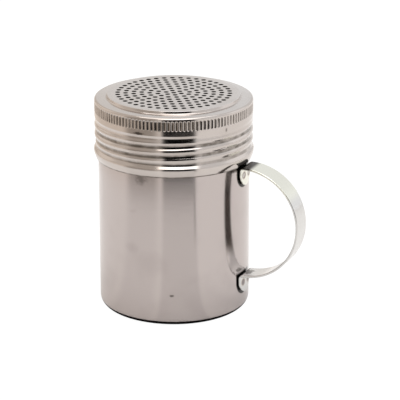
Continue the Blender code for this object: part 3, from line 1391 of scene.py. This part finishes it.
@dataclass
class Studio:
    """A white room with dark cards for the steel to mirror. Strips and tops are in degrees."""

    camera_distance: float = 0.8521
    camera_height: float = 0.3376
    camera_azimuth: float = radians(-66.0)
    camera_lens: float = 185.34
    aim_aside: float = 0.01128
    aim_height: float = 0.04648
    floor_radius: float = 4.0
    floor_colour: Colour = rgb(0.9, 0.9, 0.9)
    floor_glow: float = 0.92
    floor_emission: float = 1.06
    disc_steps: int = 48
    foot_radius: float = 0.0287
    cup_edge: float = 0.0331
    card_height: float = 0.0006
    shadow_height: float = 0.00008
    shadow_colour: Colour = rgb(0.01, 0.01, 0.01)
    dark: Strip = Strip(-59.4, 23.0, 3.5)
    glare: Strip = Strip(-59.4, 34.0, 3.5)
    grey: Strip = Strip(-112.0, 23.0, 8.0)
    line: Strip = Strip(-37.6, 0.9, 0.8)
    brown: Strip = Strip(-162.0, 78.0, 22.0)
    sides: tuple[Strip, ...] = (Strip(42.0, 20.0, 9.0), Strip(172.0, 20.0, 9.0))
    dark_top: Span = (30.5, 34.0)
    glare_top: Span = (66.0, 69.5)
    side_top: Span = (37.0, 46.0)
    sky_strength: float = 0.93
    glare_strength: float = 1.9
    side_strength: float = 0.3
    grey_share: float = 0.25
    white: float = 0.86
    front_grey: float = 0.73
    far_grey: float = 0.29
    left_grey: float = 0.78
    left_far_grey: float = 0.42
    line_grey: float = 0.30
    black_grey: float = 0.04
    fade_radii: Span = (0.185, 0.233)
    black_radii: Span = (0.233, 0.268)
    line_radii: Span = (0.13, 0.165)
    brown_radii: Span = (0.20, 0.26)
    brown_tint: Colour = rgb(0.84, 0.765, 0.69)
    softbox_size: float = 1.2
    softbox_height: float = 1.3
    softbox_power: float = 6.0

    def add_camera(self) -> None:
        """Stand the camera where the photograph was taken."""
        camera = bpy.data.cameras.new("studio_camera")
        camera.lens = self.camera_lens
        stand = bpy.data.objects.new("studio_camera", camera)
        forward = Vector((cos(self.camera_azimuth), sin(self.camera_azimuth), 0.0))
        aside = Vector((-forward.y, forward.x, 0.0))
        aim = aside * self.aim_aside + Vector((0.0, 0.0, self.aim_height))
        stand.location = forward * self.camera_distance + Vector((0.0, 0.0, self.camera_height))
        stand.rotation_euler = (aim - stand.location).to_track_quat("-Z", "Y").to_euler()
        bpy.context.scene.collection.objects.link(stand)
        bpy.context.scene.camera = stand
        bpy.context.scene.view_settings.view_transform = "Standard"

    def add_disc(
        self, material: Material, name: str, radii: Span, z: float = 0.0, mirrored: bool = False
    ) -> None:
        """Add a flat ring on the floor, as stage.

        Args:
            material: its finish.
            name: its name.
            radii: its inner and its outer radius.
            z: its height.
            mirrored: whether only the steel's reflections show it.
        """
        inner, outer = radii
        editor = bmesh.new()
        near, far = [], []
        for step in range(self.disc_steps + 1):
            angle = tau * step / self.disc_steps
            near.append(editor.verts.new((inner * cos(angle), inner * sin(angle), z)))
            far.append(editor.verts.new((outer * cos(angle), outer * sin(angle), z)))
        for step in range(self.disc_steps):
            editor.faces.new((near[step], far[step], far[step + 1], near[step + 1]))
        mesh = bpy.data.meshes.new(name)
        editor.to_mesh(mesh)
        editor.free()
        mesh.materials.append(material)
        piece = bpy.data.objects.new(name, mesh)
        if mirrored:
            piece.visible_camera = False
            piece.visible_diffuse = False
            piece.visible_shadow = False
        bpy.context.scene.collection.objects.link(piece)

    def add_floor(self) -> None:
        """Lay the pale floor, whose shadows are kept faint for the camera."""
        material, wiring = new_material("pale_floor", plain=True)
        matt = wiring.add("ShaderNodeBsdfDiffuse", {"Color": self.floor_colour})
        glow = wiring.add("ShaderNodeEmission", {"Color": WHITE, "Strength": self.floor_emission})
        seen = wiring.add("ShaderNodeLightPath").outputs["Is Camera Ray"]
        share = wiring.product(seen, self.floor_glow)
        mix = wiring.add("ShaderNodeMixShader", {0: share, 1: matt.outputs[0], 2: glow.outputs[0]})
        wiring.add("ShaderNodeOutputMaterial", {"Surface": mix.outputs[0]})
        self.add_disc(material, "studio_floor", (0.0, self.floor_radius))

    def add_mirrored_floor(self) -> None:
        """Lay a card that gives the steel a floor with a dark end to mirror."""
        material, wiring = new_material("mirrored_floor_paper", plain=True)
        x, y, _ = wiring.split(wiring.add("ShaderNodeTexCoord").outputs["Object"])
        azimuth = wiring.math("ARCTAN2", y, x)
        radius = wiring.distance(x, y)
        front = wiring.product(
            wiring.fit(radius, *self.fade_radii, self.front_grey, self.far_grey),
            wiring.fit(radius, *self.black_radii, 1.0, self.black_grey),
        )
        line = wiring.fit(radius, *self.line_radii, self.front_grey, self.line_grey)
        left = wiring.fit(radius, *self.fade_radii, self.left_grey, self.left_far_grey)
        level = self.white
        for shade, strip in ((left, self.grey), (front, self.dark), (line, self.line)):
            change = wiring.math("SUBTRACT", shade, level)
            change = wiring.product(change, strip.mask(wiring, azimuth))
            level = wiring.math("ADD", level, change)
        grey = wiring.add("ShaderNodeCombineColor", {0: level, 1: level, 2: level}).outputs[0]
        brown = self.brown.mask(wiring, azimuth)
        brown = wiring.product(brown, wiring.fit(radius, *self.brown_radii))
        tint = wiring.blend(brown, WHITE, self.brown_tint)
        colour = wiring.blend(1.0, grey, tint, "MULTIPLY")
        matt = wiring.add("ShaderNodeBsdfDiffuse", {"Color": colour})
        wiring.add("ShaderNodeOutputMaterial", {"Surface": matt.outputs[0]})
        radii = (self.cup_edge, self.floor_radius)
        self.add_disc(material, "mirrored_floor", radii, self.card_height, mirrored=True)

    def add_contact_shadow(self) -> None:
        """Lay the black ring that the cup's round lower corner mirrors."""
        material, wiring = new_material("contact_black")
        black = {"Base Color": self.shadow_colour, "Roughness": 1.0, "Specular IOR Level": 0.0}
        wiring.fill(wiring.tree.nodes["Principled BSDF"], black)
        radii = (self.foot_radius, self.cup_edge)
        self.add_disc(material, "contact_shadow", radii, self.shadow_height, mirrored=True)

    def below(self, wiring: Wiring, z: Socket, top: Span) -> Socket:
        """Mask the sky below a height.

        Args:
            wiring: the world's wiring.
            z: how steeply up a direction looks.
            top: the elevations in degrees between which the mask falls to 0.

        Returns:
            The mask.
        """
        return wiring.fade(z, sin(radians(top[0])), sin(radians(top[1])), smooth=False)

    def add_sky(self) -> None:
        """Surround the shaker with white, and the dark and grey strips in front."""
        world = bpy.data.worlds.new("studio")
        bpy.context.scene.world = world
        world.use_nodes = True
        wiring = Wiring(world.node_tree)
        wiring.tree.nodes.clear()
        x, y, z = wiring.split(wiring.add("ShaderNodeTexCoord").outputs["Generated"])
        azimuth = wiring.math("ARCTAN2", y, x)
        low = self.below(wiring, z, self.dark_top)
        dark = wiring.product(self.dark.mask(wiring, azimuth), low)
        grey = wiring.product(self.grey.mask(wiring, azimuth), self.grey_share)
        shade = wiring.math("MAXIMUM", dark, grey)
        light = wiring.product(wiring.math("SUBTRACT", 1.0, shade), self.sky_strength)
        above = wiring.math("SUBTRACT", self.below(wiring, z, self.glare_top), low)
        glare = wiring.product(self.glare.mask(wiring, azimuth), above, self.glare_strength)
        light = wiring.math("ADD", light, glare)
        level = self.below(wiring, z, self.side_top)
        for side in self.sides:
            glow = wiring.product(side.mask(wiring, azimuth), level, self.side_strength)
            light = wiring.math("ADD", light, glow)
        seen = wiring.add("ShaderNodeLightPath").outputs["Is Camera Ray"]
        light = wiring.math("MAXIMUM", light, seen)
        unseen = wiring.math("SUBTRACT", 1.0, seen)
        brown = wiring.product(self.brown.mask(wiring, azimuth), unseen)
        tint = wiring.blend(brown, WHITE, self.brown_tint)
        sky = wiring.add("ShaderNodeBackground", {"Color": tint, "Strength": light})
        wiring.add("ShaderNodeOutputWorld", {"Surface": sky.outputs[0]})

    def add_softbox(self) -> None:
        """Hang one large soft light over the shaker."""
        lamp = bpy.data.lights.new("softbox", "AREA")
        lamp.energy = self.softbox_power
        lamp.size = self.softbox_size
        holder = bpy.data.objects.new("softbox", lamp)
        holder.location = (0.0, 0.0, self.softbox_height)
        bpy.context.scene.collection.objects.link(holder)

    def build(self) -> None:
        """Set up the whole room."""
        self.add_camera()
        self.add_floor()
        self.add_mirrored_floor()
        self.add_contact_shadow()
        self.add_sky()
        self.add_softbox()


@dataclass
class SpiceShaker:
    """The whole shaker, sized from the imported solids."""

    thread: RolledThread = RolledThread()
    cup_radius: float = 0.03275
    tab_radius: float = 0.033525
    bead_inset: float = 0.00002
    residue_rise: float = 0.0010

    def finishes(self, handle: StrapHandle) -> dict[str, Material]:
        """Make every finish.

        Args:
            handle: the handle, which some of the effects follow.

        Returns:
            The materials by name.
        """
        wall, band = self.cup_radius, ScrewLid.band_radius
        half, top_z, low_z = handle.width / 2, handle.top_z, handle.low_z
        residue_top = low_z + self.residue_rise
        cup_layers = (
            # Painted shade and dark reflection on the cup along both tabs' edges.
            TabEdgeShade(half, handle.round_end_z(top_z), top_z),
            TabEdgeShade(half, handle.round_end_z(low_z), low_z, residue_top),
            # Painted shade on the cup just under the lid's hem, beside the upper tab.
            StainAndShadeSpot(wall, -14.0, 0.0668, 0.0050, 0.0018, 0.95),
            # Painted shade on the cup just under the lid's hem, on the left.
            StainAndShadeSpot(wall, -91.4, 0.0662, 0.0036, 0.0038, 0.5, 0.1),
            StainAndShadeSpot(wall, -68.3, 0.0143, 0.0014, 0.0007, 0.75),
            StainAndShadeSpot(wall, -99.5, 0.0345, 0.0042, 0.0036, 0.11, 0.1),
        )
        lid_layers = (
            # Painted shade in the knurl's grooves, in the thread's valleys and along the lid's lower
            # edge.
            HollowShade(0.03417, 0.03400, 0.0877, 0.0926, 0.85),
            HollowShade(0.03388, 0.03366, 0.0728, 0.0850, 0.85),
            HollowShade(0.03400, 0.03372, 0.0673, 0.0682, 0.95),
            # Painted dark reflection: a streak just below the knurl on the left.
            StainAndShadeSpot(band, -91.4, 0.0864, 0.0030, 0.0008, 0.85),
            StainAndShadeSpot(band, -26.0, 0.0864, 0.0007, 0.0010, 0.6),
        )
        strap_layers = (
            # Painted light: the strap's upper arc is lighter and yellower, where the light falls on it.
            PaintedUpperShading(rgb(0.80, 0.80, 0.725), 0.0530, 0.0575),
            WeldHeatAndBendShade(*handle.weld_z, handle.weld_side),
        )
        finger_layers = (
            # Painted shade: the inner face is darkened above this height, so that the cup mirrors a
            # dark strap.
            PaintedUpperShading(rgb(0.15, 0.137, 0.128), 0.0203, 0.0258),
            # Painted shade on the inner face of the lower bend, in the crevice next to the cup.
            StainAndShadeSpot(0.0348, 0.0, low_z, 0.0034, 0.0026, 0.8, 0.6, rgb(0.10, 0.09, 0.08)),
        )
        satin, satin_worn = rgb(0.498, 0.448, 0.434), rgb(0.438, 0.392, 0.378)
        # Painted shade: the insides of cup and lid are given a dark colour, standing in for the little
        # light that gets in.
        inner, inner_worn = rgb(0.20, 0.19, 0.18), rgb(0.14, 0.13, 0.12)
        # Painted shade: the holes' walls are coloured nearly black, standing in for the dark inside.
        hole, hole_worn = rgb(0.03, 0.027, 0.025), rgb(0.02, 0.018, 0.016)
        lid, lid_worn = rgb(0.55, 0.503, 0.476), rgb(0.46, 0.405, 0.37)
        plateau, plateau_worn = rgb(0.615, 0.587, 0.573), rgb(0.51, 0.475, 0.455)
        strap, strap_worn = rgb(0.665, 0.66, 0.65), rgb(0.585, 0.575, 0.56)
        finger, finger_worn = rgb(0.78, 0.77, 0.755), rgb(0.68, 0.67, 0.65)
        weld, weld_worn = rgb(0.55, 0.52, 0.49), rgb(0.40, 0.37, 0.34)
        wire, wire_worn = rgb(0.70, 0.68, 0.66), rgb(0.60, 0.58, 0.56)
        kinds = (
            SteelFinish(
                "satin_cup_steel", satin, satin_worn, 0.10, 0.17, anisotropy=0.3, layers=cup_layers
            ),
            SteelFinish("shaded_inner_steel", inner, inner_worn, 0.32, 0.45),
            SteelFinish("shaded_hole_steel", hole, hole_worn, 0.35, 0.5),
            SteelFinish("bright_lid_steel", lid, lid_worn, 0.09, 0.15, layers=lid_layers),
            SteelFinish("plateau_steel", plateau, plateau_worn, 0.12, 0.20, Grain.RINGS),
            SteelFinish(
                "strap_steel", strap, strap_worn, 0.12, 0.20, Grain.ALONG, layers=strap_layers
            ),
            SteelFinish(
                "finger_side_steel", finger, finger_worn, 0.14, 0.22, Grain.ALONG, layers=finger_layers
            ),
            SteelFinish("weld_steel", weld, weld_worn, 0.28, 0.45, Grain.NONE, 2500.0, bump=0.00002),
            SteelFinish("drawn_wire_steel", wire, wire_worn, 0.2, 0.3),
        )
        return {kind.name: kind.build() for kind in kinds}

    def build(self) -> None:
        """Build every piece and set it on its body."""
        cup_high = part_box("cup")[1]
        lid_low, lid_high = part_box("lid")
        wire_low, wire_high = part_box("lid_hem_wire")
        strap_low, strap_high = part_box("handle_strap")
        welds = {name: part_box(name) for name in WELD_NAMES}
        upper, lower = welds["weld_upper_left"], welds["weld_lower_left"]
        handle = StrapHandle(
            tab_radius=self.tab_radius,
            top_z=strap_high.z - StrapHandle.thickness / 2,
            low_z=strap_low.z + StrapHandle.tab_length + StrapHandle.bend_radius,
            weld_z=((upper[0].z + upper[1].z) / 2, (lower[0].z + lower[1].z) / 2),
            weld_side=(upper[0].y + upper[1].y) / 2,
        )
        steel = self.finishes(handle)
        inner = steel["shaded_inner_steel"]
        cup = DrawnCup(self.thread, self.cup_radius, cup_high.z)
        place_piece(cup.build(steel["satin_cup_steel"], inner), Body.CUP, "cup")
        lid = ScrewLid(self.thread, lid_high.z, lid_low.z, lid_high.x - self.bead_inset)
        faces = {
            LidFace.TOP: steel["plateau_steel"],
            LidFace.SIDE: steel["bright_lid_steel"],
            LidFace.INSIDE: inner,
            LidFace.HOLES: steel["shaded_hole_steel"],
        }
        place_piece(lid.build(faces), Body.LID, "lid")
        wire = HemWire(wire_high.x - HemWire.radius, (wire_low.z + wire_high.z) / 2)
        ring = wire.build(steel["drawn_wire_steel"])
        place_piece(ring, Body.CARRIER, "lid_hem_wire")
        strap = handle.build(steel["strap_steel"], steel["finger_side_steel"])
        place_piece(strap, Body.CUP, "handle_strap")
        face_radius = handle.tab_radius + handle.thickness / 2
        for name, (low, high) in welds.items():
            weld = SpotWeld(name, low, high, face_radius, handle.pocket_depth)
            place_piece(weld.build(steel["weld_steel"]), Body.CUP, name)


def main() -> None:
    """Load the solids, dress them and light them."""
    logging.basicConfig(level=logging.INFO, format="%(name)s: %(message)s")
    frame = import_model()
    log.info("the packed model has %d nodes", len(frame["nodes"]))
    Studio().build()
    SpiceShaker().build()


if __name__ == "__main__":
    main()
